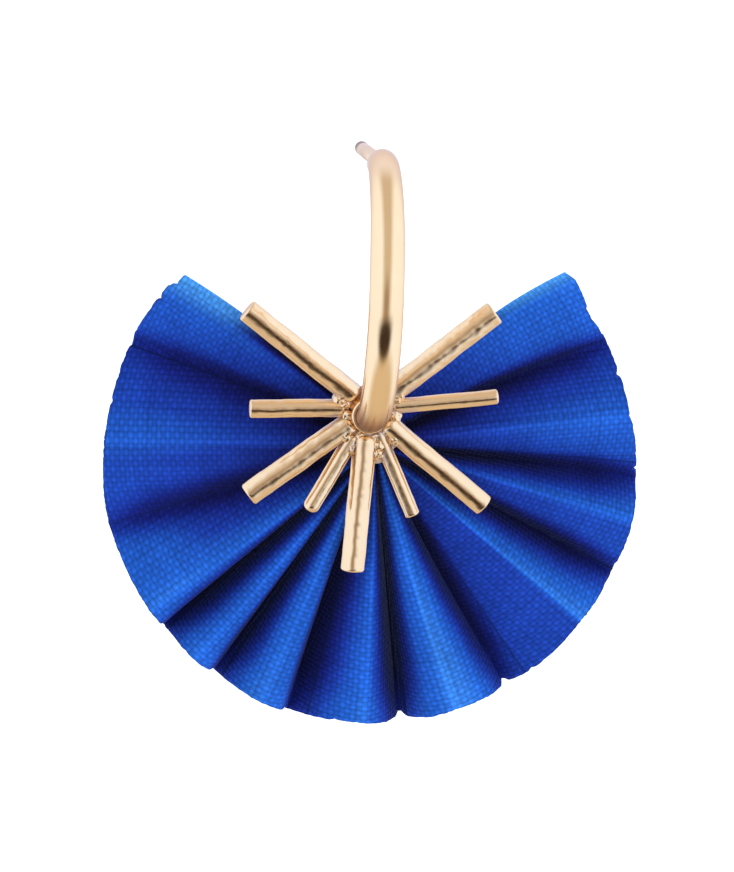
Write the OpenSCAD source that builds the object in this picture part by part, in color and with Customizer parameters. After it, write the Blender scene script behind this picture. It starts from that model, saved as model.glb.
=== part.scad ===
// Drop earring: a pleated cloth fan held behind a burst of nine metal rods, on a half-round hook
// with a straight post. Millimetres. The front faces -Y, +Z is up, and the origin lies on the
// post's axis, in the middle of the ear lobe.

/* [Post] */
// Diameter of the post that goes through the ear
post_d = 0.9; // [0.7:0.05:1]
// Length of post that stands out of the hook's end
post_reach = 10.5; // [8:0.5:13]
// Distance from the hook's end face to the middle of the lobe
lobe_half = 2.5; // [2:0.1:3.5]

/* [Hook] */
// Diameter of the hook's wire
wire_d = 2.1; // [1.8:0.05:2.3]
// Height from the burst's centre to the post's axis
hook_drop = 15.6; // [14:0.1:18]
// How far the burst's centre lies left of the post's axis
hook_lean = 0.66; // [0:0.01:1]
// How far the hook's bow is swung to the left, in degrees
hook_turn = 3; // [0:0.5:4]
// Length of the tapered end that the post comes out of
tip_len = 0.5; // [0.3:0.05:0.8]
// Diameter of that tapered end at its face
tip_d = 1.6; // [1.3:0.05:1.7]
// Diameter of the peg at the hook's foot
peg_d = 1.7; // [1.4:0.05:1.75]
// Length of the peg
peg_len = 1.35; // [0.9:0.05:1.5]

/* [Burst] */
// Diameter of the collar round the hook's foot
collar_d = 2.4; // [2.3:0.05:2.8]
// Diameter of the metal that fills the corner between the collar and the rods
fillet_d = 3.2; // [2.9:0.1:3.6]
// Diameter of the plate behind the rods
hub_d = 5.9; // [5.4:0.1:6.4]
// How far the plate's centre lies below the rods' centre
hub_drop = 0.8; // [0.5:0.1:1]

/* [Fan] */
// Radius of the fan's rim
rim_r = 17; // [15:0.5:20]
// Thickness of the cloth wall, front to back
cloth_t = 1.6; // [1:0.1:2]
// How far the fan's rim circle is centred below the burst's centre
fan_drop = 3.3; // [2.8:0.1:3.8]
// How far it is centred to the right
fan_shift = 0.35; // [0:0.05:0.4]
// Radius of the small ring that the pleats are gathered to
ring_r = 1.2; // [1.2:0.05:1.4]
// Share of the pleats' depth that is left at that ring
ring_relief = 0.3; // [0.2:0.05:0.5]
// Deepest fold, front to back, at the rim
fold_depth = 2.6; // [1.6:0.1:3]

/* [Back plate] */
// Diameter of the plate that holds the gathers from behind
back_d = 7.2; // [6:0.2:8]
// Thickness of that plate
back_t = 0.6; // [0.5:0.05:1]
// Diameter of the rivet through the gathers
rivet_d = 1.8; // [1.6:0.05:1.8]

/* [Hidden] */
$fn = 48;

GOLD = "#D9A95F";
STEEL = "#C9A77F";
BLUE = "#1746C2";

// Gap between a peg and its hole, at a seat, below the hook's foot, and between metal and cloth
fit_gap = 0.03;
seat_gap = 0.05;
foot_gap = 0.1;
cloth_gap = 0.15;

// Hook: a half circle from its upper end, on the post's axis, to its foot at the burst
hook_y = -lobe_half - tip_len;
hook_r = norm([hook_drop, hook_lean]) / 2;
lean_deg = atan2(hook_lean, hook_drop);
foot = [-hook_lean, hook_y, -hook_drop];
// The post's root tapers into the hook from a shoulder that is just outside the hook's end
post_seat = 1.4;
root_out = 0.1;
root_wide = post_d - 0.06;
root_thin = post_d - 0.3;
// The tapered end and the peg start inside the wire, and the taper starts with a small step
tip_root = 0.3;
tip_step = 0.06;

// Burst: one row for each rod, counter-clockwise from the left upper one
//  angle, length from the centre, diameter
rods = [
    [140.8, 10.1, 1.3],
    [179.5,  7.6, 1.0],
    [214.6,  9.4, 1.2],
    [238.7,  7.5, 0.9],
    [264.3, 10.4, 1.4],
    [292.4,  7.4, 0.8],
    [319.2,  9.7, 1.2],
    [364.6,  8.2, 0.9],
    [396.8, 10.0, 1.2],
];
rod_edge = 0.12;
rod_back = max([for (rod = rods) rod[2]]) / 2;
collar_h = 1.05;
fillet_h = 0.8;
// Centre plane of the rods, the plane of their backs and the plate's, and the plate's centre in X and Z
rod_y = hook_y + foot_gap + collar_h;
hub_y = rod_y + rod_back;
hub_c = [foot[0] + 0.1, foot[2] - hub_drop];

// Fan: one row for each fold line, counter-clockwise from the left end edge
//  angle on the rim, share of the full depth that it lies behind the ridges,
//  how far it reaches past the rim's circle, sideways bow halfway to the hub
folds = [
    [135.0, 0.20, -0.30, -0.45],
    [139.0, 0.04,  0.10, -0.35],
    [154.5, 0.73, -0.20, -0.10],
    [177.0, 0.00,  0.10,  0.00],
    [196.5, 0.73,  0.15,  0.00],
    [215.0, 0.00,  0.15,  0.00],
    [217.8, 0.12,  0.10,  0.00],
    [220.5, 1.00,  0.15,  0.00],
    [226.0, 0.16,  0.10,  0.00],
    [229.5, 0.00,  0.10,  0.00],
    [233.0, 0.12,  0.15,  0.00],
    [235.8, 1.00,  0.00,  0.00],
    [241.5, 0.16,  0.15,  0.00],
    [245.5, 0.00,  0.20,  0.00],
    [250.0, 0.14,  0.20,  0.00],
    [253.0, 1.00,  0.20,  0.00],
    [264.0, 0.20,  0.15,  0.00],
    [269.0, 0.00,  0.15,  0.00],
    [272.0, 0.20,  0.25,  0.00],
    [277.8, 1.00,  0.10,  0.00],
    [284.0, 0.16,  0.45,  0.00],
    [288.0, 0.00,  0.30,  0.00],
    [296.0, 0.24,  0.35,  0.00],
    [301.3, 0.90,  0.45,  0.00],
    [308.0, 0.50,  0.50,  0.00],
    [321.0, 0.00,  0.20,  0.00],
    [333.6, 0.82,  0.45,  0.05],
    [336.5, 0.45,  0.35,  0.05],
    [344.8, 0.00,  0.10,  0.05],
    [354.0, 0.73,  0.45,  0.05],
    [368.5, 0.00, -0.30,  0.05],
    [384.0, 0.73, -0.15,  0.20],
    [392.0, 0.27, -0.45,  0.35],
    [401.0, 0.00,  0.10,  0.80],
    [403.5, 0.12, -0.05,  0.90],
];
// Centres in X and Z of the rim's circle and of the ring that the pleats are gathered to
rim_c = [foot[0] + fan_shift, foot[2] - fan_drop];
ring_c = rim_c + [0.1, 0.5];
mid_deg = 269;
half_span = (folds[len(folds) - 1][0] - folds[0][0]) / 2;
// The hub's angles spread wider than the rim's, and its ends open towards the upper rods
ring_spread = 1.19;
ring_open = 1.4;
ridge_y = hub_y + cloth_gap;
stations = 7;
// Widest angle between two lines of the finished cloth, and how round it is over the ridges
line_deg = 4;
roundness = 0.6;
lines = [
    for (i = [0 : len(folds) - 2])
    let (a = folds[i], b = folds[i + 1], count = ceil((b[0] - a[0]) / line_deg))
    each [for (k = [0 : count - 1]) between(a, b, k / count)],
    folds[len(folds) - 1]
];

// Back plate
back_r = back_d / 2;
back_y = ridge_y + fold_depth * relief(back_r / rim_r) + cloth_t + cloth_gap;
// The rivet's end is stepped down by this much all round, and shows this much behind the plate
stub_step = 0.2;
stub_proud = 0.15;
stub_d = rivet_d - 2 * stub_step;

// How far a cut reaches past the metal that it goes through
cut = 1;

// Share of the pleats' depth at a share t of the way from the ring to the rim
function relief(t) = ring_relief + (1 - ring_relief) * sin(90 * t);

// Line at share t between two fold lines: the cloth is round over a ridge and sharp in a valley
function between(a, b, t) =
    let (
        u = a[1] < b[1] ? t : 1 - t,
        low = min(a[1], b[1]),
        high = max(a[1], b[1]),
        rise = (1 - roundness) * u + roundness * (1 - cos(90 * u)),
        line = a + (b - a) * t
    )
    [line[0], low + (high - low) * rise, line[2], line[3]];

function on_circle(centre, r, deg) = centre + r * [cos(deg), sin(deg)];

// Inner and outer end of a fold line, in X and Z
function fold_rim(fold) = on_circle(rim_c, rim_r + fold[2], fold[0]);
function fold_ring(fold) =
    let (off = fold[0] - mid_deg)
    on_circle(ring_c, ring_r + ring_open * pow(abs(off) / half_span, 4), mid_deg + off * ring_spread);

// Point of a fold line at share t, set off sideways by its bow
function fold_xz(fold, t) =
    let (a = fold_ring(fold), b = fold_rim(fold), along = (b - a) / norm(b - a))
    a + (b - a) * t + [-along[1], along[0]] * fold[3] * 4 * t * (1 - t);

function fold_point(fold, t, back) =
    let (p = fold_xz(fold, t))
    [p[0], ridge_y + fold[1] * fold_depth * relief(t) + back, p[1]];

// Closed loop of points round the cloth along one fold line: out along the front, in along the back
function fold_loop(fold) = concat(
    [for (k = [0 : stations - 1]) fold_point(fold, k / (stations - 1), 0)],
    [for (k = [stations - 1 : -1 : 0]) fold_point(fold, k / (stations - 1), cloth_t)]
);

module along_y() {
    rotate([-90, 0, 0]) children();
}

// Tapered root of the post, and the hole for it with a gap all round
module post_root(gap) {
    translate([0, hook_y + tip_len - post_seat - gap, 0])
    along_y() cylinder(d1 = root_thin + 2 * gap, d2 = root_wide + 2 * gap, h = post_seat + root_out);
}

module ear_post() {
    tip_round = 0.15;
    color(STEEL) {
        post_root(0);
        translate([0, hook_y + tip_len, 0])
        along_y() {
            translate([0, 0, root_out]) cylinder(d = post_d, h = post_reach - root_out - tip_round);
            translate([0, 0, post_reach - tip_round])
            cylinder(d1 = post_d, d2 = post_d - 2 * tip_round, h = tip_round);
        }
    }
}

// Half circle of wire from the upper end round the front to the foot
module hook_arc() {
    translate([-hook_lean, 2 * hook_y, -hook_drop] / 2)
    rotate([0, lean_deg, 0])
    rotate([0, 0, -hook_turn])
    rotate([180, -90, 0])
    rotate_extrude(angle = 180)
    translate([hook_r, 0])
    circle(d = wire_d);
}

module ear_hook() {
    color(GOLD)
    difference() {
        union() {
            hook_arc();
            translate([0, hook_y - tip_root, 0])
            along_y() cylinder(d1 = wire_d - tip_step, d2 = tip_d, h = tip_root + tip_len);
            translate(foot - [0, tip_root, 0]) along_y() cylinder(d = peg_d, h = tip_root + peg_len);
        }
        post_root(fit_gap);
    }
}

// One rod of the burst, with its outer edge taken off
module rod(deg, length, d) {
    translate([foot[0], rod_y, foot[2]])
    rotate([0, 90 - deg, 0]) {
        cylinder(d = d, h = length - rod_edge);
        translate([0, 0, length - rod_edge]) cylinder(d1 = d, d2 = d - 2 * rod_edge, h = rod_edge);
    }
}

// Rods, plate, collar and rivet, soldered into one
module burst() {
    socket_depth = peg_len + 2 * seat_gap;
    stub_end = back_y + back_t + stub_proud;
    color(GOLD)
    difference() {
        union() {
            for (r = rods) rod(r[0], r[1], r[2]);
            translate([hub_c[0], rod_y, hub_c[1]]) along_y() cylinder(d = hub_d, h = rod_back);
            translate([foot[0], rod_y - collar_h, foot[2]]) along_y() cylinder(d = collar_d, h = collar_h);
            translate([foot[0], rod_y - fillet_h, foot[2]])
            along_y() cylinder(d1 = collar_d, d2 = fillet_d, h = fillet_h);
            translate([ring_c[0], rod_y, ring_c[1]])
            along_y() cylinder(d = rivet_d, h = back_y - seat_gap - rod_y);
            translate([ring_c[0], rod_y, ring_c[1]]) along_y() cylinder(d = stub_d, h = stub_end - rod_y);
        }
        translate([foot[0], hook_y - cut, foot[2]])
        along_y() cylinder(d = peg_d + 2 * fit_gap, h = cut + socket_depth);
    }
}

// Pleated cloth, closed between its front and its back
module fan() {
    size = 2 * stations;
    last = len(lines) - 1;
    points = [for (line = lines) each fold_loop(line)];
    sides = [
        for (i = [0 : last - 1], j = [0 : size - 1])
        let (a = i * size + j, b = i * size + (j + 1) % size)
        each [[a, b, b + size], [a, b + size, a + size]]
    ];
    ends = [
        for (end = [0, last], k = [0 : stations - 2])
        let (
            a = end * size + k,
            b = end * size + size - 1 - k,
            quad = [[a, b, b - 1], [a, b - 1, a + 1]]
        )
        each end == 0 ? quad : [for (tri = quad) [tri[2], tri[1], tri[0]]]
    ];
    color(BLUE) polyhedron(points = points, faces = concat(sides, ends));
}

module back_plate() {
    color(GOLD)
    translate([ring_c[0], back_y, ring_c[1]])
    along_y()
    difference() {
        cylinder(d = back_d, h = back_t);
        translate([0, 0, -cut]) cylinder(d = stub_d + 2 * fit_gap, h = back_t + 2 * cut);
    }
}

ear_post();
ear_hook();
burst();
fan();
back_plate();
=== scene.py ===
import math
import bpy
import numpy as np
from mathutils import Matrix, Vector, noise


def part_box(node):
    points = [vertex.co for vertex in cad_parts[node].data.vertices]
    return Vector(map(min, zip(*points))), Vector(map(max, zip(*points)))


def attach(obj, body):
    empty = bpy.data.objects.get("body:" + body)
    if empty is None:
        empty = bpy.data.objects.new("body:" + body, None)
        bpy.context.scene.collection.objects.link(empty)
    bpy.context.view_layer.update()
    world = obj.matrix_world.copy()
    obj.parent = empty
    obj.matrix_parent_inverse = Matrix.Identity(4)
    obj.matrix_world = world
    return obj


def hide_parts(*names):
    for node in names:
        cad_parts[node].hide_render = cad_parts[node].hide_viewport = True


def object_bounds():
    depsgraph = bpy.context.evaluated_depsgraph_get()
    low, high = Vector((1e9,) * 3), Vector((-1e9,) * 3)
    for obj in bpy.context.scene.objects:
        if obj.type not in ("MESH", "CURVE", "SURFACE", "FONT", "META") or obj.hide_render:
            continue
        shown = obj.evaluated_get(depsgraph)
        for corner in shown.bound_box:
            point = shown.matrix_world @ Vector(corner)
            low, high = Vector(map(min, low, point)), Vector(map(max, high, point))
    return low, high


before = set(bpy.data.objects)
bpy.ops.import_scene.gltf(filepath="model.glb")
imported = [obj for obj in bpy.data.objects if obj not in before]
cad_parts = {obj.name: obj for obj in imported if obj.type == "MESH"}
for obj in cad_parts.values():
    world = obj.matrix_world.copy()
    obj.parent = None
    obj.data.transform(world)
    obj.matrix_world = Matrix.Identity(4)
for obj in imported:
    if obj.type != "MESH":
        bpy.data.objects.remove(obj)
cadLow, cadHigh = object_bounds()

# Fan earring: pleated cloth behind a burst of gold rods, on a half-round hook.
# Metres, front toward -Y, origin on the post's axis in the middle of the lobe.

mm = 0.001

# Where the frame has its pieces
hookFootY = -0.003                            # plane of both ends of the hook's wire
footPoint = Vector((-0.00066, hookFootY, -0.0156))
seatShift = Vector((-0.00010, 0, -0.00026))    # the collar sits a little low and left
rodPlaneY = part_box("burst")[0][1] + 1.05 * mm  # middle of the rods
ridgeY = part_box("fan")[0][1]                   # front of the cloth's ridges
plateLow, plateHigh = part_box("back_plate")
postLow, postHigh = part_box("ear_post")


# Camera

cameraSetup = {
    "azimuth": -7.0,        # degrees, negative goes to the left
    "elevation": 9.0,
    "distance": 0.300,
    "target": (-0.0006, 0.0, -0.0176),
    "lens": 195.0,
}


def directionFrom(azimuth, elevation):
    a, e = math.radians(azimuth), math.radians(elevation)
    return Vector((math.sin(a) * math.cos(e), -math.cos(a) * math.cos(e), math.sin(e)))


def addObject(name, data):
    obj = bpy.data.objects.new(name, data)
    bpy.context.scene.collection.objects.link(obj)
    return obj


def aimAlong(obj, direction):
    obj.rotation_euler = direction.to_track_quat("-Z", "Y").to_euler()


def makeCamera(setup):
    data = bpy.data.cameras.new("camera")
    data.lens = setup["lens"]
    data.clip_start = 0.01
    data.clip_end = 20
    cam = addObject("camera", data)
    back = directionFrom(setup["azimuth"], setup["elevation"])
    cam.location = Vector(setup["target"]) + back * setup["distance"]
    aimAlong(cam, -back)
    bpy.context.scene.camera = cam
    return back


cameraBack = makeCamera(cameraSetup)
print("camera placed")


# Small helpers for meshes and node trees

def meshFrom(name, verts, faces):
    mesh = bpy.data.meshes.new(name)
    mesh.from_pydata([tuple(v) for v in verts], [], faces)
    mesh.validate()
    mesh.shade_smooth()
    return addObject(name, mesh)


def markPoints(obj, name, values):
    # A named value for each vertex, for the materials
    mark = obj.data.attributes.new(name, "FLOAT", "POINT")
    mark.data.foreach_set("value", np.array(values, dtype=np.float32))


def applyModifiers(obj):
    graph = bpy.context.evaluated_depsgraph_get()
    mesh = bpy.data.meshes.new_from_object(obj.evaluated_get(graph))
    obj.modifiers.clear()
    old = obj.data
    obj.data = mesh
    bpy.data.meshes.remove(old)


def feed(tree, target, inputs):
    # Sets or links a node's sockets, by name or number
    for key, value in inputs.items():
        socket = target.inputs[key]
        if isinstance(value, bpy.types.NodeSocket):
            tree.links.new(value, socket)
        else:
            socket.default_value = (*value, 1.0) if socket.type == "RGBA" else value


def node(tree, kind, at, inputs=None, **settings):
    made = tree.nodes.new("ShaderNode" + kind)
    made.location = at
    for key, value in settings.items():
        setattr(made, key, value)
    feed(tree, made, inputs or {})
    return made


def calc(tree, operation, a, b=None, at=(0, 0), c=None):
    inputs = {i: value for i, value in enumerate((a, b, c)) if value is not None}
    return node(tree, "Math", at, inputs, operation=operation).outputs[0]


def mixColours(tree, fac, a, b, at):
    # A colour Mix has its colours on sockets 6 and 7 and the result on 2
    return node(tree, "Mix", at, {0: fac, 6: a, 7: b}, data_type="RGBA").outputs[2]


def makeGroup(name, inputs, outputs):
    # Every socket is a plain number
    group = bpy.data.node_groups.new(name, "ShaderNodeTree")
    for label, value in inputs.items():
        socket = group.interface.new_socket(label, in_out="INPUT", socket_type="NodeSocketFloat")
        socket.default_value = value
    for label in outputs:
        group.interface.new_socket(label, in_out="OUTPUT", socket_type="NodeSocketFloat")
    into, out = group.nodes.new("NodeGroupInput"), group.nodes.new("NodeGroupOutput")
    into.location, out.location = (-900, 0), (900, 0)
    return group, into.outputs, out


# Shared effects

def buildMottleGroup():
    # Uneven tone, as a value round 0.5
    group, into, out = makeGroup("mottle", {"Scale": 300.0, "Contrast": 0.3}, ["Value"])
    coords = node(group, "TexCoord", (-900, -200))
    clouds = node(group, "TexNoise", (-500, 0), {
        "Vector": coords.outputs["Object"], "Scale": into["Scale"], "Detail": 4})
    centred = calc(group, "SUBTRACT", clouds.outputs["Fac"], 0.5, (-200, 0))
    spread = calc(group, "MULTIPLY", centred, into["Contrast"], (100, 0))
    feed(group, out, {"Value": calc(group, "ADD", spread, 0.5, (400, 0))})
    return group


def buildWeaveGroup():
    # Plain weave of slubby yarns in the cloth's own flat coordinates in millimetres, U along the folds
    group, into, out = makeGroup("weave", {"Along per mm": 3.4, "Across per mm": 2.5, "Slub": 0.1},
                                 ["Height", "Fleck", "Gap", "Yarn Tone"])
    flat = node(group, "UVMap", (-1900, 0), uv_map="flat").outputs["UV"]
    wander = node(group, "TexNoise", (-1700, -250), {"Vector": flat, "Scale": 0.8, "Detail": 3})
    centred = node(group, "VectorMath", (-1500, -250), {0: wander.outputs["Color"], 1: (0.5, 0.5, 0.5)},
                   operation="SUBTRACT")
    shift = node(group, "VectorMath", (-1300, -250), {0: centred.outputs[0], "Scale": into["Slub"]},
                 operation="SCALE")
    place = node(group, "VectorMath", (-1100, 0), {0: flat, 1: shift.outputs[0]}, operation="ADD").outputs[0]
    split = node(group, "SeparateXYZ", (-900, -100), {0: place}).outputs
    a = calc(group, "MULTIPLY", split["X"], into["Along per mm"], (-700, 100))
    b = calc(group, "MULTIPLY", split["Y"], into["Across per mm"], (-700, -100))
    rounds, turns = [], []
    for value, y in ((a, 300), (b, -300)):
        half = calc(group, "MULTIPLY", value, math.pi, (-500, y))
        turns.append(calc(group, "COSINE", half, None, (-350, y)))
        # 1 on the yarn's middle, 0 between two yarns
        rounds.append(calc(group, "ABSOLUTE", turns[-1], None, (-200, y)))
    # Above 0 where the yarns along the folds lie on top
    over = calc(group, "MULTIPLY", turns[0], turns[1], (-50, 0))
    fleck = calc(group, "MAXIMUM", over, 0.0, (100, 200))
    share = calc(group, "MULTIPLY_ADD", over, 0.5, (100, 0), 0.5)
    top = calc(group, "MULTIPLY", calc(group, "POWER", rounds[1], 0.6, (100, -300)), share, (250, 0))
    rest = calc(group, "SUBTRACT", 1.0, share, (250, -150))
    under = calc(group, "MULTIPLY", calc(group, "POWER", rounds[0], 0.6, (100, 400)), rest, (400, -150))
    beside = [calc(group, "SUBTRACT", 1.0, yarn, (250, y)) for yarn, y in zip(rounds, (-400, -550))]
    # Each yarn has its own tone, stretched along it
    tones = []
    for stretch, y in (((2.2, 0.2, 1.0), -700), ((0.2, 2.2, 1.0), -900)):
        run = node(group, "Mapping", (-900, y), {"Vector": place, "Scale": stretch})
        slubs = node(group, "TexNoise", (-700, y), {"Vector": run.outputs[0], "Scale": 1.0, "Detail": 2})
        tones.append(calc(group, "MULTIPLY", slubs.outputs["Fac"], 0.5, (-550, y)))
    feed(group, out, {
        "Height": calc(group, "ADD", top, under, (550, 0)),
        "Fleck": calc(group, "POWER", fleck, 0.8, (250, 200)),
        "Gap": calc(group, "MULTIPLY", *beside, (400, -450)),
        "Yarn Tone": calc(group, "ADD", *tones, (-400, -800)),
    })
    return group


def buildCreaseGroup():
    # Pressed lines beside a ridge: a painted highlight along it and a thin line of painted shade on one side
    group, into, out = makeGroup("crease", {"Band mm": 0.3, "Line mm": 0.45}, ["Light", "Dark"])
    flat = node(group, "UVMap", (-900, 200), uv_map="flat").outputs["UV"]
    split = node(group, "SeparateXYZ", (-700, 200), {0: flat})
    slow = node(group, "TexNoise", (-700, -300), {"Vector": flat, "Scale": 0.16})
    shift = calc(group, "MULTIPLY_ADD", slow.outputs["Fac"], 0.5, (-500, -300), -0.25)
    across = calc(group, "ADD", split.outputs["Y"], shift, (-350, 200))

    def pulse(offset, width, y):
        off = calc(group, "SUBTRACT", across, offset, (-200, y))
        scaled = calc(group, "DIVIDE", off, width, (-50, y))
        square = calc(group, "MULTIPLY", scaled, scaled, (100, y))
        return calc(group, "EXPONENT", calc(group, "MULTIPLY", square, -1.0, (250, y)), None, (400, y))

    feed(group, out, {"Light": pulse(0.0, into["Band mm"], 200), "Dark": pulse(into["Line mm"], 0.07, -100)})
    return group


effects = {"mottle": buildMottleGroup(), "weave": buildWeaveGroup(), "crease": buildCreaseGroup()}
print("shared effects built")


def newMaterial(name):
    mat = bpy.data.materials.new(name)
    mat.use_nodes = True
    tree = mat.node_tree
    return mat, tree, tree.nodes["Principled BSDF"]


def placeEffect(tree, name, at, inputs):
    return node(tree, "Group", at, inputs, node_tree=effects[name]).outputs


def vertexMark(tree, name, at):
    return node(tree, "Attribute", at, attribute_name=name).outputs["Fac"]


# Gold plating

goldLook = {
    "bright": (0.98, 0.70, 0.42),
    "warm": (0.96, 0.63, 0.34),
    "marked": (0.47, 0.28, 0.18),     # painted shade and dark reflection on the lower side of the hook's foot
    "markedRoughness": 0.30,
    "edge": (0.80, 0.68, 0.62),       # where the surface turns away
    "roughness": 0.13,
    "handBump": 0.06,                 # strength and depth of the hand-made unevenness
    "bumpMm": 0.05,
}

hookLook = dict(goldLook, bright=(0.98, 0.74, 0.47), warm=(0.96, 0.67, 0.39))
burstLook = dict(goldLook, bright=(0.96, 0.72, 0.47), warm=(0.93, 0.65, 0.39), roughness=0.21,
                 marked=(0.74, 0.60, 0.54), markedRoughness=0.16, handBump=0.14)
postLook = dict(goldLook, bright=(0.93, 0.75, 0.56), warm=(0.88, 0.67, 0.47), marked=(0.36, 0.28, 0.23),
                edge=(0.85, 0.74, 0.66))
backLook = dict(goldLook, roughness=0.28, handBump=0.2)


def goldMaterial(name, look, mask=None):
    mat, tree, shader = newMaterial(name)
    tone = placeEffect(tree, "mottle", (-700, 200), {"Scale": 420.0, "Contrast": 0.9})
    fine = placeEffect(tree, "mottle", (-700, -100), {"Scale": 2600.0, "Contrast": 0.5})
    wobble = placeEffect(tree, "mottle", (-700, -400), {"Scale": 900.0, "Contrast": 1.0})
    colour = mixColours(tree, tone["Value"], look["bright"], look["warm"], (-450, 200))
    rough = calc(tree, "MULTIPLY", fine["Value"], 2 * look["roughness"], (-400, -100))
    if mask:
        marked = vertexMark(tree, mask, (-900, 0))
        colour = mixColours(tree, marked, colour, look["marked"], (-250, 200))
        extra = calc(tree, "MULTIPLY", marked, look["markedRoughness"], (-400, -250))
        rough = calc(tree, "ADD", rough, extra, (-250, -100))
    bump = node(tree, "Bump", (-300, -400), {
        "Height": wobble["Value"], "Strength": look["handBump"], "Distance": look["bumpMm"] * mm})
    feed(tree, shader, {"Metallic": 1.0, "Specular Tint": look["edge"], "Base Color": colour,
                        "Roughness": rough, "Normal": bump.outputs["Normal"]})
    return mat


# Blue cloth

clothLook = {
    # colour from a ridge in the light to the bottom of a fold
    "depths": [
        (0.00, (0.0165, 0.119, 0.568)), (0.26, (0.0110, 0.048, 0.375)), (0.52, (0.0085, 0.018, 0.212)),
        (0.74, (0.0070, 0.0090, 0.104)), (0.87, (0.0050, 0.0048, 0.052)), (1.00, (0.0040, 0.0028, 0.024)),
    ],
    "pale": (0.076, 0.36, 0.92),     # where the ends are folded over or a face shines
    "alongPerMm": 3.4,
    "acrossPerMm": 2.5,
    "slub": 0.19,
    "ground": 0.84,           # brightness between the flecks, and what a fleck adds
    "fleck": 0.28,
    "gap": 0.25,              # darkening of the holes between the yarns
    "yarnSpread": 1.1,        # how much the yarns differ in brightness
    "bandMm": 0.30,           # painted highlight along a pressed ridge, and the painted shade of the dark line beside it
    "lineMm": 0.45,
    "bandHighlight": 0.16,
    "lineShade": 0.22,
    "shine": -3.2,            # how fast a face turned to the light goes pale
    "roughness": 0.88,
    "sheen": 0.1,
    "bumpMm": 0.10,
}


def clothMaterial(look):
    mat, tree, shader = newMaterial("blueCloth")
    weave = placeEffect(tree, "weave", (-1100, 0), {
        "Along per mm": look["alongPerMm"], "Across per mm": look["acrossPerMm"], "Slub": look["slub"]})
    crease = placeEffect(tree, "crease", (-1100, -300), {
        "Band mm": look["bandMm"], "Line mm": look["lineMm"]})
    clouds = placeEffect(tree, "mottle", (-1100, -500), {"Scale": 260.0, "Contrast": 0.5})
    depth = vertexMark(tree, "valley", (-1200, 300))
    byDepth = node(tree, "ValToRGB", (-900, 350), {"Fac": depth})
    ramp = byDepth.color_ramp
    ramp.elements[1].position = look["depths"][-1][0]
    for place, _ in look["depths"][1:-1]:
        ramp.elements.new(place)
    for element, (_, colour) in zip(ramp.elements, look["depths"]):
        element.color = (*colour, 1.0)

    def plus(value, factor, add, at):
        return calc(tree, "MULTIPLY_ADD", value, factor, at, add)

    patch = plus(clouds["Value"], 1.0, 0.5, (-900, -500))
    tone = plus(weave["Yarn Tone"], look["yarnSpread"], 1 - look["yarnSpread"] / 2, (-900, -100))
    flecks = plus(weave["Fleck"], look["fleck"], look["ground"], (-900, 100))
    flecks = plus(weave["Gap"], -look["gap"], flecks, (-750, 100))
    # Painted highlight along the ridges and painted shade in the crease lines
    lines = plus(crease["Light"], look["bandHighlight"], 1.0, (-900, -300))
    lines = plus(crease["Dark"], -look["lineShade"], lines, (-750, -300))
    shade = calc(tree, "MULTIPLY", calc(tree, "MULTIPLY", flecks, tone, (-600, 0)),
                 calc(tree, "MULTIPLY", lines, patch, (-600, -200)), (-450, -100))
    lit = calc(tree, "MINIMUM", depth, 0.0, (-900, 550))
    pale = plus(lit, look["shine"], vertexMark(tree, "paleEdge", (-900, 700)), (-700, 550))
    colour = mixColours(tree, pale, byDepth.outputs["Color"], look["pale"], (-550, 350))
    shaded = node(tree, "VectorMath", (-250, 100), {0: colour, "Scale": shade}, operation="SCALE")
    bump = node(tree, "Bump", (-300, -400), {
        "Height": weave["Height"], "Strength": 0.9, "Distance": look["bumpMm"] * mm})
    feed(tree, shader, {
        "Base Color": shaded.outputs[0], "Roughness": look["roughness"], "Specular IOR Level": 0.08,
        "Sheen Weight": look["sheen"], "Sheen Roughness": 0.45, "Sheen Tint": (0.10, 0.30, 1.0),
        "Normal": bump.outputs["Normal"]})
    return mat


materials = {
    "gold": goldMaterial("paleGold", hookLook, "foot"),
    "burst": goldMaterial("paleGoldSoldered", burstLook, "solder"),
    "post": goldMaterial("postGold", postLook, "tip"),
    "back": goldMaterial("satinGold", backLook),
    "cloth": clothMaterial(clothLook),
}
print("materials built")


def finishPiece(piece, material, standsFor):
    piece.data.materials.clear()
    piece.data.materials.append(material)
    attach(piece, "root")
    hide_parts(standsFor)


# Fan cloth

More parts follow.
